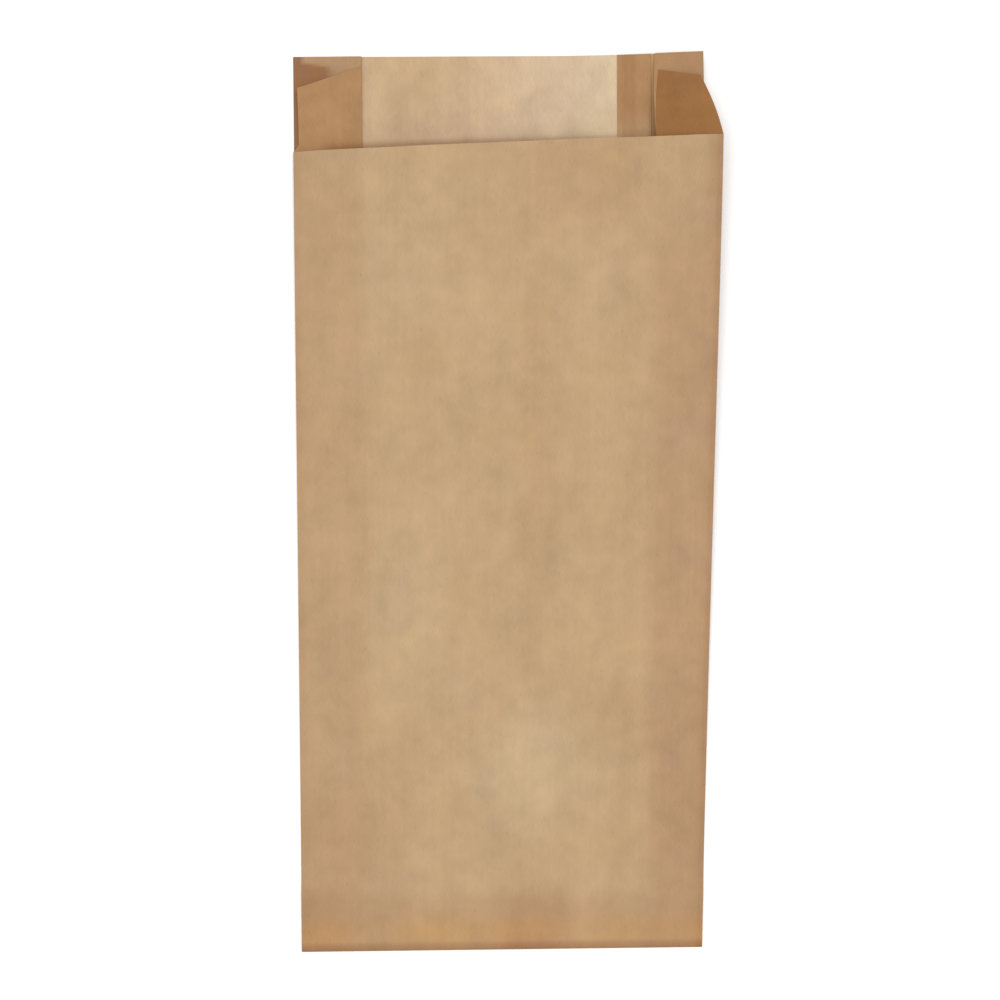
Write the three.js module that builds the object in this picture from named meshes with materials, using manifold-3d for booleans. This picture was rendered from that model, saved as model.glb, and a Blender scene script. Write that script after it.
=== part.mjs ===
// A brown kraft paper lunch bag, lying empty and nearly flat on its back panel.
// One web of paper is folded into a flat tube with a gusset tucked in at each side, glued along a seam
// in the back panel, and folded over and glued across the bottom. The back panel is cut longer than the
// front, which leaves a lip, and the mouth gapes a little, most of all at its right corner.
// Lengths are in millimetres: +X to the right of the front, +Y towards the mouth, +Z up off the table.

import * as THREE from "three";
import { mergeVertices } from "three/addons/utils/BufferGeometryUtils.js";
import Module from "manifold-3d";

const wasm = await Module();
wasm.setup();

// The sheet, and the air left between two layers that are pressed together.
const paper = 0.1;
const layerGap = 0.1;
const pitch = paper + layerGap;

// The flat bag. A gusset's size is the depth of its tuck, and a lip's is how far the back panel's cut
// edge lies beyond the front panel's. The bottom fold is this much out of square.
const bagWidth = 130;
const backLength = 286;
const leftLip = 30;
const rightLip = 27;
const leftGusset = 21.5;
const rightGusset = 16.5;
const bottomFlap = 16;
const bottomSkew = 1.5;
const seamOverlap = 10.5;
const seamInset = 0.6;
const seamStep = 0.2;

// Glue goes on in beads. Each keeps this share of its cell of paper clear, across and along the bag.
const beadClearAcross = 0.1;
const beadClearAlong = 0.2;

// The gape. Each gusset opens as a V: its back half climbs from the back crease to the tucked crease,
// and its front half climbs on to the front crease.
const gapeStart = 35;
const gapeCurve = 1.35;
const mouthFlare = 4.5;
const leftBackTilt = THREE.MathUtils.degToRad(1.5);
const leftFrontTilt = THREE.MathUtils.degToRad(3.5);
const rightBackTilt = THREE.MathUtils.degToRad(22);
const rightFrontTilt = THREE.MathUtils.degToRad(21);
const frontBow = 2.5;
const frontRise = 0.8;

// The lip. The front halves of the gussets stand free beyond the front panel, as two ears whose top
// edges slope down to their outer corners. The left one is drawn in off the fold, and its outer corner
// curls up. The right tuck narrows to this width at the long cut edge, where its back half lies down on
// the bent corner.
const leftEarStep = 3;
const leftEarCorner = 10.5;
const leftEarDraw = 1.7;
const leftEarCurl = 3;
const rightEarStep = 5;
const rightEarCorner = 8;
const earTopWidth = 15;
const earCurve = 2;
const earTopTilt = THREE.MathUtils.degToRad(27);
const earBackTilt = THREE.MathUtils.degToRad(-12);

// The right corner of the back panel bends up off the table, which draws it in.
const cornerLift = 7;
const cornerLength = 95;
const cornerWidth = 50;
const cornerCurve = 3;
const cornerDraw = 1.5;

// Past the bottom flap the bag comes down to the table over this length.
const flapRamp = 10;

// How many spans the mesh has: along the gape and the lip, and across each run of the sheet.
const gapeCount = 10;
const lipCount = 4;
const frontCount = 14;
const backCount = 10;
const gussetCount = 3;
const seamCount = 3;

const layers = { back: 0, backHalf: 1, frontHalf: 2, front: 3 };
const stacked = Object.keys(layers).length;
const halfWidth = bagWidth / 2;
const frontLength = backLength - (leftLip + rightLip) / 2;
const seamEdge = halfWidth - rightGusset - seamInset;
const { lerp, clamp, smoothstep } = THREE.MathUtils;

/** Evenly spaced values from one end to the other, both ends included. */
function between(from, to, count) {
  return Array.from({ length: count + 1 }, (_, i) => lerp(from, to, i / count));
}

/** Where the front panel's cut edge lies, at x across the bag. */
function frontCut(x) {
  return backLength - lerp(leftLip, rightLip, (x + halfWidth) / bagWidth);
}

/** Where the bottom fold lies, at x across the bag. */
function bottomFold(x) {
  return (bottomSkew * x) / bagWidth;
}

/** How far the bag has opened, from 0 where it is pressed flat to 1 at the mouth. */
function gape(along) {
  return clamp((along - gapeStart) / (frontLength - gapeStart), 0, 1) ** gapeCurve;
}

/** How far the back panel has bent up at a point, from 0 where it is flat to 1 at its right corner. */
function bend(x, row) {
  const length = clamp((row.along - backLength + cornerLength) / cornerLength, 0, 1);
  const width = clamp((x - halfWidth + cornerWidth) / cornerWidth, 0, 1);
  return row.underside ? 0 : length ** cornerCurve * width * width;
}

/** Height of a pressed layer's middle: over the flap it rides on the flap's own layers. */
function layerHeight(row, layer) {
  if (row.underside) {
    return paper / 2 + pitch * (stacked - 1 - layer);
  }
  const onFlap = 1 - smoothstep(row.along, bottomFlap, bottomFlap + flapRamp);
  return paper / 2 + pitch * (layer + stacked * onFlap);
}

/** A point of the sheet on one row: x across, its layer, its height over that layer, and how far short
 * of the long cut edge its column stops. */
function sheetPoint(row, x, layer, rise = 0, short = 0) {
  let y = lerp(bottomFold(x), frontCut(x), row.along / frontLength);
  if (row.lip > 0) {
    y = lerp(frontCut(x), backLength - short, row.lip);
  }
  if (row.fold) {
    y = bottomFold(x) - pitch * (layer + 0.5);
  }
  return new THREE.Vector3(x, y, layerHeight(row, layer) + rise);
}

/** The rows of the sheet, from the flap's end under the bag, round the bottom fold, to the long edge. */
function sheetRows() {
  const rows = [bottomFlap, bottomFlap / 2].map((along) => ({ along, underside: true }));
  rows.push({ along: 0, underside: true, fold: true }, { along: 0, fold: true });
  rows.push({ along: bottomFlap / 2 }, { along: bottomFlap });
  rows.push({ along: bottomFlap + flapRamp / 2 }, { along: bottomFlap + flapRamp });
  const start = bottomFlap + flapRamp;
  for (let i = 1; i <= gapeCount; i++) {
    rows.push({ along: lerp(start, frontLength, i / gapeCount) });
  }
  for (let i = 1; i <= lipCount; i++) {
    rows.push({ along: lerp(frontLength, backLength, i / lipCount), lip: i / lipCount });
  }
  return rows.map((row) => ({ underside: false, fold: false, lip: 0, ...row }));
}

/** The creases of one row: where each fold line of the tube lies, and its height over its layer. */
function creases(row) {
  const open = row.underside ? 0 : gape(row.along);
  const flare = mouthFlare * clamp(row.along / frontLength, 0, 1);
  const flared = row.underside ? 0 : flare;
  const leftBack = { x: -halfWidth, rise: 0 };
  const leftInner = {
    x: leftBack.x + leftGusset * Math.cos(open * leftBackTilt),
    rise: leftGusset * Math.sin(open * leftBackTilt),
  };
  const leftDrawn = row.lip > 0 ? leftEarDraw : 0;
  const leftFront = {
    x: leftInner.x - leftGusset * Math.cos(open * leftFrontTilt) + leftDrawn,
    rise: leftInner.rise + leftGusset * Math.sin(open * leftFrontTilt),
  };
  const backTilt = open * lerp(rightBackTilt, earBackTilt, row.lip);
  const frontTilt = open * lerp(rightFrontTilt, earTopTilt, row.lip);
  const bent = bend(halfWidth, row);
  const rightBack = { x: halfWidth - cornerDraw * bent, rise: cornerLift * bent };
  const tuckWidth = lerp(rightGusset, earTopWidth, row.lip);
  const rightInner = {
    x: rightBack.x - tuckWidth * Math.cos(backTilt),
    rise: rightBack.rise + tuckWidth * Math.sin(backTilt),
  };
  const earWidth = lerp(rightGusset + flared, earTopWidth, row.lip ** earCurve);
  const rightFront = {
    x: rightInner.x + earWidth * Math.cos(frontTilt),
    rise: rightInner.rise + earWidth * Math.sin(frontTilt),
  };
  return { open, leftBack, leftInner, leftFront, rightBack, rightInner, rightFront };
}

/** The sheet's middle along one row, from the seam's outer edge round the tube to its inner edge. */
function sheetSection(row) {
  const points = [];
  const c = creases(row);
  const add = (x, layer, rise, short) => points.push(sheetPoint(row, x, layer, rise, short));
  const backRun = (places, layer) =>
    places.forEach((x) => add(x - cornerDraw * bend(x, row), layer, cornerLift * bend(x, row)));
  const halfRun = (from, to, layer, shortFrom = 0, shortTo = 0, curl = 0) => {
    for (let i = 0; i <= gussetCount; i++) {
      const t = i / gussetCount;
      const rise = lerp(from.rise, to.rise, t) + curl * (t * row.lip) ** 2;
      add(lerp(from.x, to.x, t), layer, rise, lerp(shortFrom, shortTo, t));
    }
  };
  const overlap = between(seamEdge, seamEdge - seamOverlap, seamCount);
  backRun([...overlap, ...between(overlap.at(-1), -halfWidth, backCount).slice(1)], layers.back);
  halfRun(c.leftBack, c.leftInner, layers.backHalf);
  halfRun(c.leftInner, c.leftFront, layers.frontHalf, leftEarStep, leftEarCorner, leftEarCurl);
  for (let i = 0; i <= frontCount; i++) {
    const t = i / frontCount;
    const climb = (c.rightFront.rise - c.leftFront.rise) * t ** frontRise;
    const bow = c.open * frontBow * Math.sin(Math.PI * t);
    add(lerp(c.leftFront.x, c.rightFront.x, t), layers.front, c.leftFront.rise + climb + bow);
  }
  halfRun(c.rightFront, c.rightInner, layers.frontHalf, rightEarCorner, rightEarStep);
  halfRun(c.rightInner, c.rightBack, layers.backHalf);
  backRun(between(halfWidth, seamEdge + seamStep + pitch, seamCount), layers.back);
  backRun([seamEdge + seamStep, ...overlap.slice(1)], layers.backHalf);
  return points;
}

/** The unit normals of the sheet's cells: the cross product of each cell's diagonals. */
function cellNormal(grid, row, column) {
  const across = grid[row + 1][column + 1].clone().sub(grid[row][column]);
  const back = grid[row + 1][column].clone().sub(grid[row][column + 1]);
  return across.cross(back).normalize();
}

/** The step from the sheet's middle to its face at one point: the vector that stands half a thickness
 * off every cell round that point, which mitres the folds. */
function mitre(normals, half) {
  const soft = 1e-5;
  const sum = new THREE.Vector3();
  const m = [soft, 0, 0, 0, soft, 0, 0, 0, soft];
  for (const n of normals) {
    const v = n.toArray();
    v.forEach((a, i) => v.forEach((b, j) => (m[3 * i + j] += a * b)));
    sum.addScaledVector(n, half);
  }
  return sum.applyMatrix3(new THREE.Matrix3().set(...m).invert());
}

/** The paper as a closed solid about the grid of its middle, made of the cells that are present. */
function thickSheet(grid, present) {
  const rows = grid.length;
  const columns = grid[0].length;
  const has = (r, c) => r >= 0 && c >= 0 && r < rows - 1 && c < columns - 1 && present(r, c);
  const positions = [];
  const faces = [[], []];
  grid.forEach((line, r) =>
    line.forEach((point, c) => {
      const around = [[r, c], [r - 1, c], [r, c - 1], [r - 1, c - 1]].filter(([i, j]) => has(i, j));
      const step = mitre(around.map(([i, j]) => cellNormal(grid, i, j)), paper / 2);
      faces[0].push(point.clone().add(step));
      faces[1].push(point.clone().sub(step));
    }),
  );
  const corner = (side, [r, c]) => faces[side][r * columns + c];
  const quad = (a, b, c, d) => [a, b, c, a, c, d].forEach((p) => positions.push(p.x, p.y, p.z));
  for (let r = 0; r < rows - 1; r++) {
    for (let c = 0; c < columns - 1; c++) {
      if (!has(r, c)) {
        continue;
      }
      const ring = [[r, c], [r, c + 1], [r + 1, c + 1], [r + 1, c]];
      const beside = [[r - 1, c], [r, c + 1], [r + 1, c], [r, c - 1]];
      const [a, b, d, e] = ring.map((at) => corner(0, at));
      quad(a, b, d, e);
      const [p, q, s, t] = ring.map((at) => corner(1, at));
      quad(p, t, s, q);
      beside.forEach(([i, j], side) => {
        if (!has(i, j)) {
          const from = ring[side];
          const to = ring[(side + 1) % ring.length];
          quad(corner(0, from), corner(1, from), corner(1, to), corner(0, to));
        }
      });
    }
  }
  const geometry = new THREE.BufferGeometry();
  geometry.setAttribute("position", new THREE.Float32BufferAttribute(positions, 3));
  return geometry;
}

/** A geometry as a manifold solid, with its shared vertices merged. */
function toSolid(geometry) {
  const bare = geometry.clone();
  bare.deleteAttribute("normal");
  bare.deleteAttribute("uv");
  const merged = mergeVertices(bare, paper / 1000);
  return new wasm.Manifold(
    new wasm.Mesh({
      numProp: 3,
      vertProperties: merged.attributes.position.array,
      triVerts: new Uint32Array(merged.index.array),
    }),
  );
}

/** A manifold solid as a geometry. */
function toGeometry(solid) {
  const mesh = solid.getMesh();
  const geometry = new THREE.BufferGeometry();
  geometry.setAttribute("position", new THREE.BufferAttribute(mesh.vertProperties, mesh.numProp));
  geometry.setIndex(new THREE.BufferAttribute(mesh.triVerts, 1));
  return geometry;
}

/** Where a bead of glue meets the paper: the middle of one cell of the sheet, as four corners. */
function beadFace(lower, upper, column) {
  const ring = [
    [beadClearAcross, beadClearAlong],
    [1 - beadClearAcross, beadClearAlong],
    [1 - beadClearAcross, 1 - beadClearAlong],
    [beadClearAcross, 1 - beadClearAlong],
  ];
  return ring.map(([across, along]) => {
    const near = lower[column].clone().lerp(lower[column + 1], across);
    return near.lerp(upper[column].clone().lerp(upper[column + 1], across), along);
  });
}

/** A bead of glue: the block between its two faces, each in the middle of the paper it holds. */
function glueBead(start, end) {
  const out = end[0].clone().sub(start[0]);
  const turn = start[1].clone().sub(start[0]).cross(start[3].clone().sub(start[0]));
  const [low, high] = turn.dot(out) > 0 ? [start, end] : [end, start];
  const positions = [];
  const quad = (...ring) => [0, 1, 2, 0, 2, 3].forEach((i) => positions.push(...ring[i].toArray()));
  quad(low[0], low[3], low[2], low[1]);
  quad(...high);
  low.forEach((corner, i) => {
    const next = (i + 1) % low.length;
    quad(corner, low[next], high[next], high[i]);
  });
  const geometry = new THREE.BufferGeometry();
  geometry.setAttribute("position", new THREE.Float32BufferAttribute(positions, 3));
  return geometry;
}

/** The glue along the seam: a bead between its two edges in each row of cells, but for the fold's. */
function seamGlue(rows, grid) {
  const middle = Math.floor(seamCount / 2);
  const overSeam = grid[0].length - 1 - seamCount;
  const beads = [];
  for (let r = 0; r < rows.length - 1; r++) {
    if (!(rows[r].fold && rows[r + 1].fold)) {
      const under = beadFace(grid[r], grid[r + 1], middle);
      beads.push(glueBead(under, beadFace(grid[r], grid[r + 1], overSeam + middle)));
    }
  }
  return beads;
}

/** The glue of the bottom flap: beads between the back panel and its own end, folded up under it. */
function flapGlue(rows, grid) {
  const flapRows = rows.filter((row) => row.underside).length;
  const beads = [];
  for (let r = 0; r < flapRows - 1; r++) {
    const facing = 2 * flapRows - 1 - r;
    for (let c = 0; c < seamCount + backCount; c++) {
      const under = beadFace(grid[r], grid[r + 1], c);
      beads.push(glueBead(under, beadFace(grid[facing], grid[facing - 1], c)));
    }
  }
  return beads;
}

/** The folded web of paper with its glue. Beyond the front panel's cut edge only the back panel and
 * the gussets go on. */
function gluedBag() {
  const rows = sheetRows();
  const grid = rows.map(sheetSection);
  const frontStart = seamCount + backCount + 1 + 2 * (gussetCount + 1);
  const inFront = (c) => c >= frontStart - 1 && c < frontStart + frontCount + 1;
  const web = thickSheet(grid, (r, c) => !inFront(c) || rows[r + 1].lip === 0);
  const glue = [...seamGlue(rows, grid), ...flapGlue(rows, grid)];
  return glue.reduce((solid, bead) => solid.add(toSolid(bead)), toSolid(web));
}

const kraft = new THREE.MeshStandardMaterial({ color: 0xc2a27c, roughness: 0.85, metalness: 0 });
const bag = new THREE.Mesh(toGeometry(gluedBag()), kraft);
bag.name = "paper_bag";

// The origin is on the table, in the middle of the bag's footprint.
bag.geometry.computeBoundingBox();
const middle = bag.geometry.boundingBox.getCenter(new THREE.Vector3());
bag.position.set(-middle.x, -middle.y, -bag.geometry.boundingBox.min.z);

const lunchBag = new THREE.Group();
lunchBag.add(bag);

export default lunchBag;
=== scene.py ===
import bpy
import mathutils
import numpy as np
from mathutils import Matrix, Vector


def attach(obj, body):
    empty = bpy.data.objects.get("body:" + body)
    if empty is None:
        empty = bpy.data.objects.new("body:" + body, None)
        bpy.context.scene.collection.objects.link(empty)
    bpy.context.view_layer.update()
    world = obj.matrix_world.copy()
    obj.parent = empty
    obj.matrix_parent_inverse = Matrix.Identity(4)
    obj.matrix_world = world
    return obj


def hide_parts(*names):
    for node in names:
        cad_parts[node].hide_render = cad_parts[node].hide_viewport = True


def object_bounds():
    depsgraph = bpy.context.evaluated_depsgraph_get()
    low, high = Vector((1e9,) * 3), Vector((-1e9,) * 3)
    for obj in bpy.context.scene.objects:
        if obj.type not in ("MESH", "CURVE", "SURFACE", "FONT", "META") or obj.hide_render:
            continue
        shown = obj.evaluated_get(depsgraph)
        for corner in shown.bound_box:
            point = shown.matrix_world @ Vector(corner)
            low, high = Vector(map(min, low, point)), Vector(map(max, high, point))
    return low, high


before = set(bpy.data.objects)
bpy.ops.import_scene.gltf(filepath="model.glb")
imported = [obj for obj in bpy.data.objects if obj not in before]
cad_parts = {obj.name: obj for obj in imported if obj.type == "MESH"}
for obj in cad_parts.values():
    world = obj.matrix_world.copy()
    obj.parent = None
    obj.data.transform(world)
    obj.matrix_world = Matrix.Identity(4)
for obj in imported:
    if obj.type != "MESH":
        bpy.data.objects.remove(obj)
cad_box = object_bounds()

mm = 0.001


# The camera hangs over the lying bag and looks almost straight down, a few degrees off the upright, so
# that the mouth is at the top of the picture and the inside of the raised corner can be seen.
camera_place = (0.9 * mm, 37.7 * mm, 550 * mm)
camera_turn = np.radians((-3.56, 0.31, -0.17))
sensor_width = 36.0
picture_pixels = 1000
focal_pixels = 1719

camera_data = bpy.data.cameras.new("overhead_camera")
camera_data.sensor_width = sensor_width
camera_data.lens = focal_pixels * sensor_width / picture_pixels
camera = bpy.data.objects.new("overhead_camera", camera_data)
camera.location = camera_place
camera.rotation_mode = "ZXY"
camera.rotation_euler = camera_turn
bpy.context.scene.collection.objects.link(camera)
bpy.context.scene.camera = camera


# The bag is one web of thin unbleached kraft paper. A machine folds it into a flat tube with a gusset
# tucked in at each side, glues it along a seam in the back panel, cuts it off, longer at the back than
# at the front, and folds the bottom end over and glues it down.
paper = 0.1 * mm
layer_gap = 0.1 * mm
pitch = paper + layer_gap
stacked = 4
bag_width = 130 * mm
back_length = 286 * mm
left_lip = 30 * mm
right_lip = 27 * mm
left_gusset = 21.5 * mm
right_gusset = 16.5 * mm
bottom_flap = 16 * mm
bottom_skew = 1.5 * mm
flap_ramp = 10 * mm
seam_overlap = 10.5 * mm
seam_inset = 0.6 * mm
seam_step = 0.2 * mm

# The gape: each gusset opens as a V, most of all at the right corner of the mouth.
gape_start = 35 * mm
gape_curve = 1.35
mouth_flare = 4.5 * mm
left_back_tilt, left_front_tilt = np.radians((1.5, 3.5))
right_back_tilt, right_front_tilt = np.radians((22, 21))
front_bow = 2.5 * mm
front_rise = 0.8

# The ears: the gussets' front halves stand free beyond the front panel, cut a little short. The left
# one is drawn in off the fold, and its outer corner curls up.
left_ear_step = 3 * mm
left_ear_corner = 10.5 * mm
left_ear_draw = 1.7 * mm
left_ear_curl = 3 * mm
right_ear_step = 5 * mm
right_ear_corner = 8 * mm
ear_top_width = 15 * mm
ear_curve = 2
ear_top_tilt, ear_back_tilt = np.radians((27, -12))

# The back panel's right corner bends up off the table.
corner_lift = 7 * mm
corner_length = 95 * mm
corner_width = 50 * mm
corner_curve = 3
corner_draw = 1.5 * mm

half_width = bag_width / 2
front_length = back_length - (left_lip + right_lip) / 2
seam_edge = half_width - right_gusset - seam_inset
BACK, BACK_HALF, FRONT_HALF, FRONT = range(stacked)


def lerp(low, high, share):
    """The value that lies the given share of the way from low to high."""
    return low + (high - low) * share


def ramp(value, low, high):
    """A smooth step: 0 below low, 1 above high, and 3t^2 - 2t^3 of the share t between them."""
    share = np.clip((value - low) / (high - low), 0, 1)
    return share * share * (3 - 2 * share)


def front_cut(x):
    """Where the front panel's cut edge lies: a straight line across the bag."""
    return back_length - lerp(left_lip, right_lip, (x + half_width) / bag_width)


def bend(x, along, under):
    """How far the back panel has bent up: the cube of the share along the corner's length times the
    square of the share across its width, and none on the flap under the bag."""
    length = np.clip((along - back_length + corner_length) / corner_length, 0, 1)
    width = np.clip((x - half_width + corner_width) / corner_width, 0, 1)
    return np.where(under, 0, length**corner_curve * width**2)


# The rows of the sheet's grid run from the flap's end under the bag, round the bottom fold and up to
# the long cut edge. turn is the angle round the fold: down on the flap and up on the bag.
rows_under, rows_fold, rows_flap, rows_ramp, rows_gape, rows_lip = 8, 6, 12, 8, 98, 34
along = np.concatenate([
    np.linspace(bottom_flap, 0, rows_under + 1),
    np.zeros(rows_fold - 1),
    np.linspace(0, bottom_flap, rows_flap + 1),
    np.linspace(bottom_flap, bottom_flap + flap_ramp, rows_ramp + 1)[1:],
    np.linspace(bottom_flap + flap_ramp, front_length, rows_gape + 1)[1:],
    np.linspace(front_length, back_length, rows_lip + 1)[1:],
])[:, None]
turn = np.full(along.shape, np.pi / 2)
turn[: rows_under + 1] = -np.pi / 2
turn[rows_under : rows_under + rows_fold + 1, 0] = np.linspace(-np.pi / 2, np.pi / 2, rows_fold + 1)
under = turn < 0
lip = np.clip((along - front_length) / (back_length - front_length), 0, 1)
opened = np.clip((along - gape_start) / (front_length - gape_start), 0, 1) ** gape_curve
opened = np.where(under, 0, opened)

# The creases: each is where a fold line of the tube lies across the bag, and its height over its layer.
flared = np.where(under, 0, mouth_flare * np.clip(along / front_length, 0, 1))
left_back = (np.full(along.shape, -half_width), np.zeros(along.shape))
left_inner = (
    left_back[0] + left_gusset * np.cos(opened * left_back_tilt),
    left_gusset * np.sin(opened * left_back_tilt),
)

# The left ear leaves the fold over the first tenth of the lip.
drawn_over = 0.1
left_drawn = left_ear_draw * np.clip(lip / drawn_over, 0, 1)
left_front = (
    left_inner[0] - left_gusset * np.cos(opened * left_front_tilt) + left_drawn,
    left_inner[1] + left_gusset * np.sin(opened * left_front_tilt),
)
corner_bend = bend(half_width, along, under)
right_back = (half_width - corner_draw * corner_bend, corner_lift * corner_bend)
back_tilt = opened * lerp(right_back_tilt, ear_back_tilt, lip)
front_tilt = opened * lerp(right_front_tilt, ear_top_tilt, lip)
tuck_width = lerp(right_gusset, ear_top_width, lip)
right_inner = (
    right_back[0] - tuck_width * np.cos(back_tilt),
    right_back[1] + tuck_width * np.sin(back_tilt),
)
ear_width = lerp(right_gusset + flared, ear_top_width, lip**ear_curve)
right_front = (
    right_inner[0] + ear_width * np.cos(front_tilt),
    right_inner[1] + ear_width * np.sin(front_tilt),
)

# Soft cockles of the front panel: ridges mostly along the bag, as damp and handling leave in paper.
cockles = 26
cockle_seed = 7
cockle_short, cockle_long = 14 * mm, 75 * mm
cockle_height = 0.16 * mm
cockle_growth = 1.2
heading_spread = 0.45


def cockle(x, y):
    """A sum of sine waves of seeded directions and phases, whose heights grow with their lengths."""
    draw = np.random.default_rng(cockle_seed)
    height = np.zeros(np.broadcast(x, y).shape)
    for _ in range(cockles):
        length = cockle_short * (cockle_long / cockle_short) ** draw.random()
        heading = draw.normal(0, heading_spread)
        wave = 2 * np.pi / length * (x * np.cos(heading) + y * np.sin(heading))
        height += (length / cockle_long) ** cockle_growth * np.sin(wave + 2 * np.pi * draw.random())
    return cockle_height * height


# What handling has left in the front panel: soft rises and dents, each with its middle across and along
# the bag, its half width and half length, its heading in degrees and its height.
marks = (
    (10, 58, 19, 18, 45, 0.5),
    (42, 74, 6, 16, 40, -0.15),
    (-30, 110, 14, 34, 0, 0.2),
    (12, 162, 7, 62, 0, -0.22),
    (-32, 226, 16, 26, 0, 0.2),
    (26, 245, 20, 14, 0, -0.35),
    (-48, 32, 18, 22, 0, -0.3),
    (-58, 8, 9, 14, 0, -0.7),
    (10, 6, 11, 14, 0, -0.8),
    (59, 36, 8, 40, 0, -0.4),
)


def marked(x, y):
    """The marks' heights at a point: each is flat-topped, height times exp(-(u^4 + v^4)), with u and v
    measured along its own axes in half widths and half lengths."""
    height = np.zeros(np.broadcast(x, y).shape)
    for across, up, half_wide, half_long, heading, rise in marks:
        cosine, sine = np.cos(np.radians(heading)), np.sin(np.radians(heading))
        dx, dy = x / mm - across, y / mm - up
        u = (dx * cosine + dy * sine) / half_wide
        v = (dy * cosine - dx * sine) / half_long
        height += rise * mm * np.exp(-(u**4 + v**4))
    return height


def panel(x, layer, rise, short=0.0):
    """A run of the sheet's middle: over x across and the rows along, at its layer's height plus rise.
    Beyond the front panel the rows run evenly to the long edge less the length that the run is short."""
    x, rise, short = np.broadcast_arrays(x, rise, short)
    y = lerp(bottom_skew * x / bag_width, front_cut(x), along / front_length)
    y = np.where(lip > 0, lerp(front_cut(x), back_length - short, lip), y)
    middle = paper / 2 + pitch * (stacked - 0.5)
    y = y - np.where(along == 0, pitch * (layer + 0.5) * np.cos(turn), 0)
    folded = middle + pitch * (layer + 0.5) * np.sin(turn)
    settled = pitch * stacked * ramp(along, bottom_flap, bottom_flap + flap_ramp)
    z = folded - np.where(under, 0, settled) + rise
    return np.stack([x, y, z], -1)


def half(start, end, layer, short_start=0.0, short_end=0.0, curl=0.0):
    """Half a gusset: straight across from one crease to the next, but for the curl of its free corner,
    which is a square across times a square along."""
    share = np.linspace(0, 1, spans_half + 1)
    x = lerp(start[0], end[0], share)
    rise = lerp(start[1], end[1], share) + curl * (share * lip) ** 2
    return panel(x, layer, rise, lerp(short_start, short_end, share))


def back_run(x, layer):
    """A run of the back panel, flat but for its bent corner."""
    bent = bend(x, along, under)
    return panel(x - corner_draw * bent, layer, corner_lift * bent)


spans_overlap, spans_back, spans_half, spans_front, spans_right = 14, 42, 22, 118, 8
front_share = np.linspace(0, 1, spans_front + 1)
front_x = lerp(left_front[0], right_front[0], front_share)
climb = left_front[1] + (right_front[1] - left_front[1]) * front_share**front_rise
bow = opened * front_bow * np.sin(np.pi * front_share)
overlap_x = np.linspace(seam_edge, seam_edge - seam_overlap, spans_overlap + 1)
back_x = np.linspace(seam_edge - seam_overlap - pitch, -half_width, spans_back + 1)
right_x = np.linspace(half_width, seam_edge + seam_step + pitch, spans_right + 1)
over_x = np.concatenate([[seam_edge + seam_step], overlap_x[1:]])

# Where no gusset lies between them the front panel sinks towards the back, past each tucked crease.
sink = 2 * pitch
sink_width = 5 * mm
sink_kept = 0.9
sunk = ramp(front_x, left_inner[0], left_inner[0] + sink_width)
sunk = sunk * (1 - ramp(front_x, right_inner[0] - sink_width, right_inner[0]))
sunk = sunk * ramp(along, bottom_flap, bottom_flap + flap_ramp)

# The cockles and marks die out towards the folds, which hold the paper straight, and the front panel
# never dips into the gussets that prop it up.
calm_share = 0.06
calm_length = 40 * mm
calm = np.clip(front_share / calm_share, 0, 1) * np.clip((1 - front_share) / calm_share, 0, 1)
calm = calm * ramp(along, 0, calm_length)
handled = np.where(under, 0, marked(front_x, along))
relief = np.where(under, 0, calm * (cockle(front_x, along) + handled) - sink * sunk)
over_left = (left_inner[0] - front_x) / (left_inner[0] - left_front[0])
over_right = (front_x - right_inner[0]) / (right_front[0] - right_inner[0])
propped = np.where(over_left > 0, lerp(left_inner[1], left_front[1], over_left), 0)
propped = np.where(over_right > 0, lerp(right_inner[1], right_front[1], over_right), propped)
relief = np.maximum(relief, propped - (climb + bow) - sink_kept * sink * sunk)

# The runs of the sheet in their order across the web, from one glued edge to the other, and the
# columns of the grid that each one takes.
runs = {
    "seam_below": back_run(overlap_x, BACK),
    "back": back_run(back_x, BACK),
    "left_tuck": half(left_back, left_inner, BACK_HALF),
    "left_ear": half(left_inner, left_front, FRONT_HALF, left_ear_step, left_ear_corner, left_ear_curl),
    "front": panel(front_x, FRONT, climb + bow + relief),
    "right_ear": half(right_front, right_inner, FRONT_HALF, right_ear_corner, right_ear_step),
    "right_tuck": half(right_inner, right_back, BACK_HALF),
    "back_edge": back_run(right_x, BACK),
    "seam_above": back_run(over_x, BACK_HALF),
}
middle_grid = np.concatenate(list(runs.values()), axis=1)
columns = {}
column = 0
for name, run in runs.items():
    columns[name] = slice(column, column + run.shape[1])
    column += run.shape[1]

# How thick a pile lies behind each point, in sheets. Paper with little behind it lets more of the light
# through to the pale table and back, and looks paler: the attribute pale paints this light into the
# colour. A dent lies close to what is behind it and counts as thicker, and a rise as thinner, so dents
# are painted darker and rises paler. Near the right fold the pile counts thicker, so the panel is
# darker.
soft_edge = 4 * mm
seam_soft = 2 * mm
flap_soft = 5 * mm
fold_outer, fold_inner = -1 * mm, -7 * mm
flap_pile = 2.3
left_gusset_pile, right_gusset_pile = 1.4, 3.4
seam_pile = 0.3
fold_pile = 3
mark_per_sheet = 0.45 * mm
still_pressed, lifted_clear = 0.55, 1.05
show_through = 0.5

on_flap = flap_pile * (1 - ramp(along, bottom_flap - flap_soft, bottom_flap + flap_soft))
beside_left = 1 - ramp(front_x, left_inner[0] - soft_edge, left_inner[0] + soft_edge)
beside_right = ramp(front_x, right_inner[0] - soft_edge, right_inner[0] + soft_edge)
pressed = 1 - ramp(opened, still_pressed, lifted_clear)
seam_start = seam_edge - seam_overlap
over_seam = ramp(front_x, seam_start - seam_soft, seam_start + seam_soft)
at_right_fold = ramp(front_x - right_front[0], fold_inner, fold_outer)
front_pile = 1 + left_gusset_pile * beside_left + right_gusset_pile * beside_right * pressed
front_pile = front_pile + seam_pile * over_seam + fold_pile * at_right_fold - handled / mark_per_sheet
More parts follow.
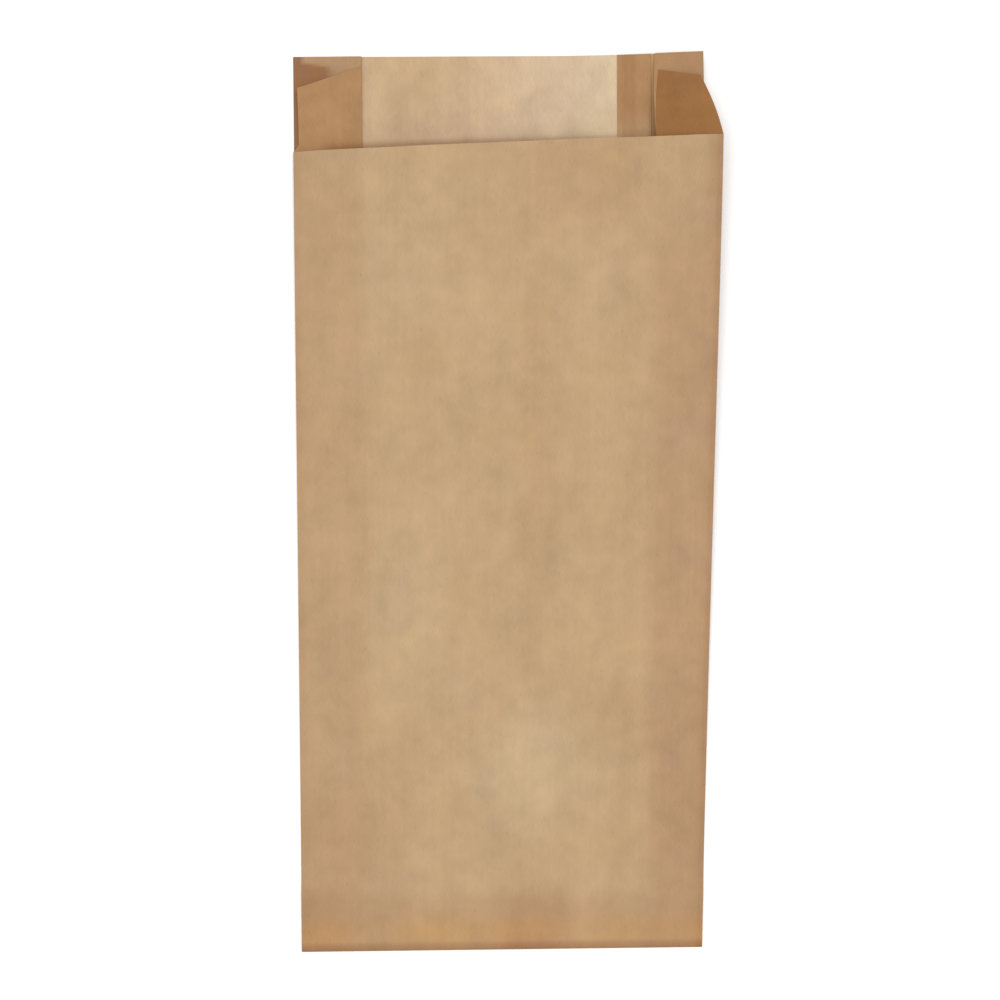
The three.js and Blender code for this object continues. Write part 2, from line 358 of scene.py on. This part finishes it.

# Beyond the mouth the back panel lies bare. Its pile is set thicker towards its left side, a painted
# light that makes the bare lip darker at its left and paler towards its lifted right corner.
bared_length = 25 * mm
bared = ramp(along, front_length - bared_length, front_length)
bare_left, bare_right = -30 * mm, 38 * mm
bare_most = 0.5
gusset_sheets = 2
# Painted light and shade: beyond the mouth the back panel's strip under the right tuck is painted paler,
# so is the seam strip near the mouth, and the open gape's shade is painted on the right ear as more
# sheets.
closed_edge_pile, bare_edge_pile = 3, 1.2
seam_lit, seam_unlit, seam_light_pile = 3 * mm, 15 * mm, 1.1
gape_shade_pile = 6
bare_pile = bare_most * (1 - ramp(back_x, bare_left, bare_right)) * np.ones(along.shape)
tucked_pile = 1 + gusset_sheets * (back_x < left_inner[0])
beyond_mouth = lip * left_lip
seam_light = 1 - ramp(beyond_mouth, seam_lit, seam_unlit)
piles = {
    "seam_below": 1,
    "back": lerp(tucked_pile, bare_pile, bared),
    "left_tuck": 1,
    "left_ear": 2,
    "front": front_pile,
    "right_ear": 2 + gape_shade_pile * opened,
    "right_tuck": 1,
    "back_edge": lerp(closed_edge_pile, bare_edge_pile, bared),
    "seam_above": 2 - seam_light_pile * seam_light,
}
behind = np.zeros(middle_grid.shape[:2])
for name, pile in piles.items():
    behind[:, columns[name]] = pile
pale = np.exp(-show_through * np.maximum(behind + on_flap, 0))

# Paper closed in a fold or a gap is lit by what its neighbours pass on, and looks deeper; this shade is
# painted into the colour. At the left the gap under the ear's curled corner is painted as a dark wedge
# of shade, and the bare fold beside it as a dark strip of shade.
wedge_edge, wedge_slope, wedge_soft = 1.2 * mm, 0.18, 0.6 * mm
wedge_inner, wedge_outer = 9 * mm, 14 * mm
strip_inner, strip_outer = 2.4 * mm, 3.4 * mm
tuck_shut, wedge_shut = 0.35, 0.95
from_fold = middle_grid[:, columns["left_tuck"], 0] + half_width
from_top = back_length - along * np.ones(from_fold.shape)
wedge = ramp(from_top - wedge_edge - wedge_slope * from_fold, -wedge_soft, wedge_soft)
wedge = wedge * (1 - ramp(from_fold, wedge_inner, wedge_outer))
strip = 1 - ramp(from_fold, strip_inner, strip_outer)

# The front panel's cut edge leaves a painted line of shade on what lies beyond it, but for the left
# ear's outer part, which touches it.
shade_inner, shade_outer = 1.4 * mm, 4 * mm
touch_left, touch_right = -57 * mm, -52 * mm
edge_shade = bared * (1 - ramp(beyond_mouth, shade_inner, shade_outer))
ear_x = middle_grid[:, columns["left_ear"], 0]
ear_shade = edge_shade * ramp(ear_x, touch_left, touch_right)

# Shade is painted where the front panel rounds off into the fold at each side and into the bottom fold,
# and its dents are painted with their own shade.
bottom_round, bottom_flat, bottom_shut = 0.5 * mm, 2.6 * mm, 0.55
right_flat, right_round, right_shut = -2.6 * mm, -0.8 * mm, 0.22
left_flat, left_round, left_shut = -3.2 * mm, -0.8 * mm, 0.09
right_fold_shut, dent_shut = 0.07, 0.22
rounding = 1 - ramp(along, bottom_round, bottom_flat)
right_rounding = ramp(front_x - right_front[0], right_flat, right_round)
left_rounding = ramp(left_front[0] - front_x, left_flat, left_round)
dented = np.clip(-handled / mm, 0, 1)
front_painted_shade = bottom_shut * rounding + right_shut * right_rounding + left_shut * left_rounding
front_painted_shade = front_painted_shade + right_fold_shut * at_right_fold + dent_shut * dented

# The seam's glue darkens a line of it. The rest is painted shade of what stands over each part.
glue_left, glue_right, glue_soft = 38.8 * mm, 43.2 * mm, 0.6 * mm
glue_shut, lip_shut, left_ear_shut, right_ear_shut, right_tuck_shut = 0.2, 0.45, 0.5, 0.6, 0.5
glue_line = ramp(over_x, glue_left - glue_soft, glue_left + glue_soft)
glue_line = glue_line * (1 - ramp(over_x, glue_right - glue_soft, glue_right + glue_soft))
shade_and_glue_by_run = {
    "back": lip_shut * edge_shade,
    "left_tuck": lerp(tuck_shut, wedge_shut, np.maximum(wedge, strip)) * bared,
    "left_ear": left_ear_shut * ear_shade,
    "front": front_painted_shade,
    "right_ear": right_ear_shut * opened,
    "right_tuck": right_tuck_shut * bared,
    "seam_above": glue_shut * glue_line,
}
painted_shade_and_glue = np.zeros(behind.shape)
for name, share in shade_and_glue_by_run.items():
    painted_shade_and_glue[:, columns[name]] = share

# Light that has come through paper or off the table under it is warm, and the attribute warm paints this
# tint, most of all in patches along the bottom fold. Where only the open room lights a gap, and on a
# rise, the paper is painted greyer.
patch_narrow, patch_wide, patch_phase = 5.3 * mm, 11.7 * mm, 2
patch_middle, narrow_swing, wide_swing = 0.9, 0.25, 0.2
patches = patch_middle + narrow_swing * np.sin(front_x / patch_narrow)
patches = patches + wide_swing * np.sin(front_x / patch_wide + patch_phase)
glow_start, glow_full, glow_fading, glow_end = 1 * mm, 3 * mm, 6 * mm, 13 * mm
glow = (1 - ramp(along, glow_fading, glow_end)) * ramp(along, glow_start, glow_full)
full_rise, raised_grey = 0.5 * mm, 0.4
raised = np.clip(handled / full_rise, 0, 1)
corner_near, corner_far, corner_high, corner_low = 3 * mm, 8 * mm, 4 * mm, 9 * mm
corner = (1 - ramp(from_fold, corner_near, corner_far)) * (1 - ramp(from_top, corner_high, corner_low))
wedge_grey, strip_grey = 0.5, 2
tuck_warmth, seam_warmth = 0.3, 0.5
seam_side, seam_side_end = 49.5 * mm, 52 * mm
warmth = {
    "left_tuck": -(wedge_grey * wedge + corner * wedge + strip_grey * strip * (1 - wedge)) * bared,
    "front": patches * glow - raised_grey * raised,
    "right_tuck": tuck_warmth * bared,
    "back_edge": bared * (1 - ramp(right_x, seam_side, seam_side_end)),
    "seam_above": seam_warmth * seam_light,
}
warm = np.zeros(behind.shape)
for name, share in warmth.items():
    warm[:, columns[name]] = share


def cell_normals(grid):
    """Unit normals of the grid's cells: the cross product of each cell's diagonals."""
    across = grid[1:, 1:] - grid[:-1, :-1]
    back = grid[1:, :-1] - grid[:-1, 1:]
    normal = np.cross(across, back)
    return normal / np.linalg.norm(normal, axis=-1, keepdims=True)


def mitre(grid, present, half_paper):
    """The step from the sheet's middle to its face: at each point, the vector nearest to half a
    thickness off every cell round it, which is a least squares fit over the cells' normals."""
    normal = cell_normals(grid) * present[..., None]
    rows, lines = grid.shape[:2]
    soft = 1e-5
    products = np.zeros((rows, lines, 3, 3)) + soft * np.eye(3)
    sums = np.zeros((rows, lines, 3))
    for r in (0, 1):
        for c in (0, 1):
            place = (slice(r, rows - 1 + r), slice(c, lines - 1 + c))
            products[place] += normal[..., :, None] * normal[..., None, :]
            sums[place] += normal * half_paper
    return np.linalg.solve(products, sums[..., None])[..., 0]


crease_angle = np.radians(35)


def thick_sheet(name, grid, present):
    """A closed mesh of the sheet: its outer face, its inner face and its cut edges. The faces' material
    numbers are 0 outside, 1 inside and 2 on the edges."""
    rows, lines = grid.shape[:2]
    step = mitre(grid, present, paper / 2)
    points = np.concatenate([(grid + step).reshape(-1, 3), (grid - step).reshape(-1, 3)])
    index = np.arange(rows * lines).reshape(rows, lines)
    below = rows * lines
    corners = np.stack([index[:-1, :-1], index[:-1, 1:], index[1:, 1:], index[1:, :-1]], -1)
    outer = corners[present]
    inner = (corners + below)[present][:, ::-1]
    framed = np.pad(present, 1)
    shifts = ((-1, 0), (0, 1), (1, 0), (0, -1))
    edges = []
    for side, (r, c) in enumerate(shifts):
        neighbour = framed[1 + r : rows + r, 1 + c : lines + c]
        start = corners[present & ~neighbour][:, side]
        end = corners[present & ~neighbour][:, (side + 1) % 4]
        edges.append(np.stack([start, start + below, end + below, end], -1))
    edges = np.concatenate(edges)
    quads = np.concatenate([outer, inner, edges])
    finish = np.repeat([0, 1, 2], [len(outer), len(inner), len(edges)])
    used, quads = np.unique(quads, return_inverse=True)
    quads = quads.reshape(-1, 4)
    mesh = bpy.data.meshes.new(name)
    mesh.from_pydata(points[used].tolist(), [], quads.tolist())
    mesh.polygons.foreach_set("material_index", finish)
    mesh.shade_smooth()
    mesh.set_sharp_from_angle(angle=crease_angle)
    return mesh, used % below


cell_column = np.arange(middle_grid.shape[1] - 1)
in_front = (cell_column >= columns["front"].start - 1) & (cell_column < columns["front"].stop)
present = ~(in_front & (lip[1:] > 0))
bag_mesh, grid_index = thick_sheet("kraft_lunch_bag", middle_grid, present)

# The web's own measure: across it from edge to edge, and along it from the flap's end.
row_step = np.linalg.norm(np.diff(middle_grid[:, 0], axis=0), axis=-1)
column_step = np.linalg.norm(np.diff(middle_grid[rows_under + rows_fold], axis=0), axis=-1)
web_v = np.concatenate([[0], np.cumsum(row_step)])
web_u = np.concatenate([[0], np.cumsum(column_step)])
web = np.stack(np.broadcast_arrays(web_u[None, :], web_v[:, None]), -1).reshape(-1, 2)[grid_index]
loops = np.zeros(len(bag_mesh.loops), int)
bag_mesh.loops.foreach_get("vertex_index", loops)
bag_mesh.uv_layers.new(name="web").data.foreach_set("uv", web[loops].astype(np.float32).ravel())
for name, values in (("pale", pale), ("painted_shade_and_glue", painted_shade_and_glue), ("warm", warm)):
    attribute = bag_mesh.attributes.new(name, "FLOAT", "POINT")
    attribute.data.foreach_set("value", values.reshape(-1)[grid_index].astype(np.float32))

# The bag's place: its low corner is the frame's.
low = np.array([v.co for v in bag_mesh.vertices]).min(0)
place = np.array(cad_box[0]) - low
coordinates = np.array([v.co for v in bag_mesh.vertices]) + place
bag_mesh.vertices.foreach_set("co", coordinates.astype(np.float32).ravel())
bag_mesh.update()
bag = bpy.data.objects.new("kraft_lunch_bag", bag_mesh)
bpy.context.scene.collection.objects.link(bag)


def linear(colour):
    """An sRGB hex colour as linear red, green, blue and alpha."""
    parts = np.array([int(colour[i : i + 2], 16) for i in (1, 3, 5)]) / 255
    parts = np.where(parts > 0.04045, ((parts + 0.055) / 1.055) ** 2.4, parts / 12.92)
    return (*parts.tolist(), 1.0)


def add(tree, kind, inputs=None, **settings):
    """Adds one node: its settings, and its inputs as values or as the sockets linked to them."""
    made = tree.nodes.new(kind)
    for name, value in settings.items():
        setattr(made, name, value)
    for name, value in (inputs or {}).items():
        if isinstance(value, bpy.types.NodeSocket):
            tree.links.new(value, made.inputs[name])
        else:
            made.inputs[name].default_value = value
    return made


def grain(tree, web_map, across, along, turn=0.0, detail=2.0):
    """Noise over the web whose grains measure across by along, in metres, turned by an angle."""
    placed = add(
        tree,
        "ShaderNodeMapping",
        {"Vector": web_map, "Rotation": (0, 0, turn), "Scale": (across, along, 1)},
        vector_type="TEXTURE",
    ).outputs["Vector"]
    noise = add(
        tree,
        "ShaderNodeTexNoise",
        {"Vector": placed, "Scale": 1.0, "Detail": detail},
        noise_dimensions="2D",
    )
    return noise.outputs["Fac"]


def weigh(tree, start, parts):
    """start plus the sum of each part's weight times its distance from a half."""
    total = start
    for weight, part in parts:
        centred = add(tree, "ShaderNodeMath", {0: part, 1: 0.5}, operation="SUBTRACT").outputs[0]
        total = add(
            tree, "ShaderNodeMath", {0: centred, 1: weight, 2: total}, operation="MULTIPLY_ADD"
        ).outputs[0]
    return total


# The paper's formation: how large each pattern's grains are on the web, and how much of the colour or
# of the height each one moves. A real fibre is too fine to show, so these are drawn some ten times as
# coarse. A fleck's size is a share of the flecks' spacing.
cloud_size, cloud_share = 7 * mm, 0.2
drift_across, drift_along, drift_share = 16 * mm, 34 * mm, 0.2
streak_across, streak_along, streak_share = 1.6 * mm, 60 * mm, 0.06
fibre_across, fibre_along, fibre_share = 0.45 * mm, 4.5 * mm, 0.1
fibre_turns = np.radians((24, -19))
tint_size, tint_share = 22 * mm, 0.16
fleck_spacing, fleck_size, fleck_shade = 7 * mm, 0.035, 0.8
warm_red, warm_blue = 0.06, -0.18
cloud_bump, streak_bump, fibre_bump = 0.5, 0.25, 0.5
gloss = 0.3


def kraft(name, pale_colour, deep_colour, shade_and_glue_colour, depth, roughness, strength, fuzz):
    """Kraft paper: the tone is the deep colour mixed with the pale one by the attribute pale raised to
    the power depth, which paints the light that shows through the sheet, and then with the third colour
    by the shade attribute, which paints shade and the seam's glue line. It is clouded by the sheet's
    formation and streaked by fibres that lie mostly along the web. The attribute warm adds red and
    takes blue, painting the tint of the light. Strength is the pattern's contrast, and fuzz the height
    of the fibres."""
    material = bpy.data.materials.new(name)
    material.use_nodes = True
    tree = material.node_tree
    shader = tree.nodes["Principled BSDF"]
    web_map = add(tree, "ShaderNodeUVMap", uv_map="web").outputs["UV"]
    pale = add(tree, "ShaderNodeAttribute", attribute_name="pale").outputs["Fac"]
    tone = add(tree, "ShaderNodeMath", {0: pale, 1: depth}, operation="POWER").outputs[0]
    base = add(
        tree,
        "ShaderNodeMixRGB",
        {"Fac": tone, "Color1": linear(deep_colour), "Color2": linear(pale_colour)},
    ).outputs["Color"]
    painted_shade_and_glue = add(tree, "ShaderNodeAttribute", attribute_name="painted_shade_and_glue").outputs["Fac"]
    base = add(
        tree, "ShaderNodeMixRGB", {"Fac": painted_shade_and_glue, "Color1": base, "Color2": linear(shade_and_glue_colour)}
    ).outputs["Color"]
    clouds = grain(tree, web_map, cloud_size, cloud_size)
    drift = grain(tree, web_map, drift_across, drift_along)
    streaks = grain(tree, web_map, streak_across, streak_along)
    fibres = [grain(tree, web_map, fibre_across, fibre_along, angle) for angle in fibre_turns]
    shade = weigh(
        tree,
        1.0,
        [(cloud_share * strength, clouds), (drift_share * strength, drift)]
        + [(streak_share * strength, streaks)]
        + [(fibre_share * strength, fibre) for fibre in fibres],
    )
    stretched = add(
        tree,
        "ShaderNodeMapping",
        {"Vector": web_map, "Scale": (fleck_spacing, 2 * fleck_spacing, 1)},
        vector_type="TEXTURE",
    ).outputs["Vector"]
    flecks = add(
        tree, "ShaderNodeTexVoronoi", {"Vector": stretched, "Scale": 1.0}, voronoi_dimensions="2D"
    ).outputs["Distance"]
    flecked = add(
        tree,
        "ShaderNodeMapRange",
        {"Value": flecks, "From Max": fleck_size, "To Min": fleck_shade, "To Max": 1.0},
    ).outputs["Result"]
    shade = add(tree, "ShaderNodeMath", {0: shade, 1: flecked}, operation="MULTIPLY").outputs[0]
    tints = grain(tree, web_map, tint_size, tint_size)
    tint = weigh(tree, 1.0, [(tint_share * strength, tints)])
    blue = add(tree, "ShaderNodeMath", {0: shade, 1: tint}, operation="MULTIPLY").outputs[0]
    warm = add(tree, "ShaderNodeAttribute", attribute_name="warm").outputs["Fac"]
    tinged = []
    for part, gain in ((shade, warm_red), (blue, warm_blue)):
        gained = add(
            tree, "ShaderNodeMath", {0: warm, 1: gain, 2: 1.0}, operation="MULTIPLY_ADD"
        ).outputs[0]
        tinged.append(
            add(tree, "ShaderNodeMath", {0: part, 1: gained}, operation="MULTIPLY").outputs[0]
        )
    shades = add(
        tree, "ShaderNodeCombineXYZ", {"X": tinged[0], "Y": shade, "Z": tinged[1]}
    ).outputs["Vector"]
    colour = add(tree, "ShaderNodeVectorMath", {0: base, 1: shades}, operation="MULTIPLY")
    tree.links.new(colour.outputs["Vector"], shader.inputs["Base Color"])
    bumps = [(cloud_bump, clouds), (streak_bump, streaks)] + [(fibre_bump, fibre) for fibre in fibres]
    heights = weigh(tree, 0.5, bumps)
    bump = add(tree, "ShaderNodeBump", {"Strength": 1.0, "Distance": fuzz, "Height": heights})
    tree.links.new(bump.outputs["Normal"], shader.inputs["Normal"])
    shader.inputs["Roughness"].default_value = roughness
    shader.inputs["Specular IOR Level"].default_value = gloss
    return material


# The outside was dried against a smooth hot roll: an even tan with a faint sheen along its cockles.
# Its three colours are the pale and deep ends of the painted show-through light, and the colour of
# painted shade and of the seam's glue.
glazed = ("#b99c74", "#a98662", "#8b5b2f")
glazed_finish = {"depth": 1.0, "roughness": 0.6, "strength": 1.0, "fuzz": 0.008 * mm}
bag_mesh.materials.append(kraft("machine_glazed_kraft", *glazed, **glazed_finish))

# The inside is the sheet's rough side: matt and fibrous. Its painted show-through changes more between
# the bare lip and the folds, and its ears carry painted shade, so the lip looks cream and the ears a
# deep orange brown.
rough = ("#cfb798", "#9f7447", "#8b5b2f")
rough_finish = {"depth": 2.2, "roughness": 0.8, "strength": 1.2, "fuzz": 0.014 * mm}
bag_mesh.materials.append(kraft("unglazed_kraft", *rough, **rough_finish))

# The cut edges are the sheet's bare fibres, with hardly any sheen.
cut_finish = {**rough_finish, "roughness": 0.9}
bag_mesh.materials.append(kraft("cut_kraft_edge", *rough, **cut_finish))
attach(bag, "root")
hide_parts("paper_bag")


# The table is a plain white board, so bright that the bag's soft shadow hardly shows on it. The light
# comes from one wide soft box almost straight above the bag, in a white room.
table_size = 4.0
board_colour, board_roughness = "#fdfdfd", 0.9
table_signs = ((-1, -1), (1, -1), (1, 1), (-1, 1))
table_mesh = bpy.data.meshes.new("white_table")
table_corners = [(x * table_size / 2, y * table_size / 2, 0) for x, y in table_signs]
table_mesh.from_pydata(table_corners, [], [(0, 1, 2, 3)])
table_paint = bpy.data.materials.new("matt_white_board")
table_paint.use_nodes = True
board = table_paint.node_tree.nodes["Principled BSDF"]
board.inputs["Base Color"].default_value = linear(board_colour)
board.inputs["Roughness"].default_value = board_roughness
table_mesh.materials.append(table_paint)
table = bpy.data.objects.new("white_table", table_mesh)
bpy.context.scene.collection.objects.link(table)

soft_box_size = 1.6
soft_box_place = (0.0, 0.1, 2.25)
soft_box_power = 34.0
room_glow = 0.6
soft_box_data = bpy.data.lights.new("soft_box", "AREA")
soft_box_data.size = soft_box_size
soft_box_data.energy = soft_box_power
soft_box = bpy.data.objects.new("soft_box", soft_box_data)
soft_box.location = soft_box_place
soft_box.rotation_euler = mathutils.Vector(soft_box_place).to_track_quat("Z", "Y").to_euler()
bpy.context.scene.collection.objects.link(soft_box)

room = bpy.data.worlds.new("white_room")
room.use_nodes = True
room.node_tree.nodes["Background"].inputs["Color"].default_value = (1, 1, 1, 1)
room.node_tree.nodes["Background"].inputs["Strength"].default_value = room_glow
bpy.context.scene.world = room
bpy.context.scene.view_settings.view_transform = "Standard"
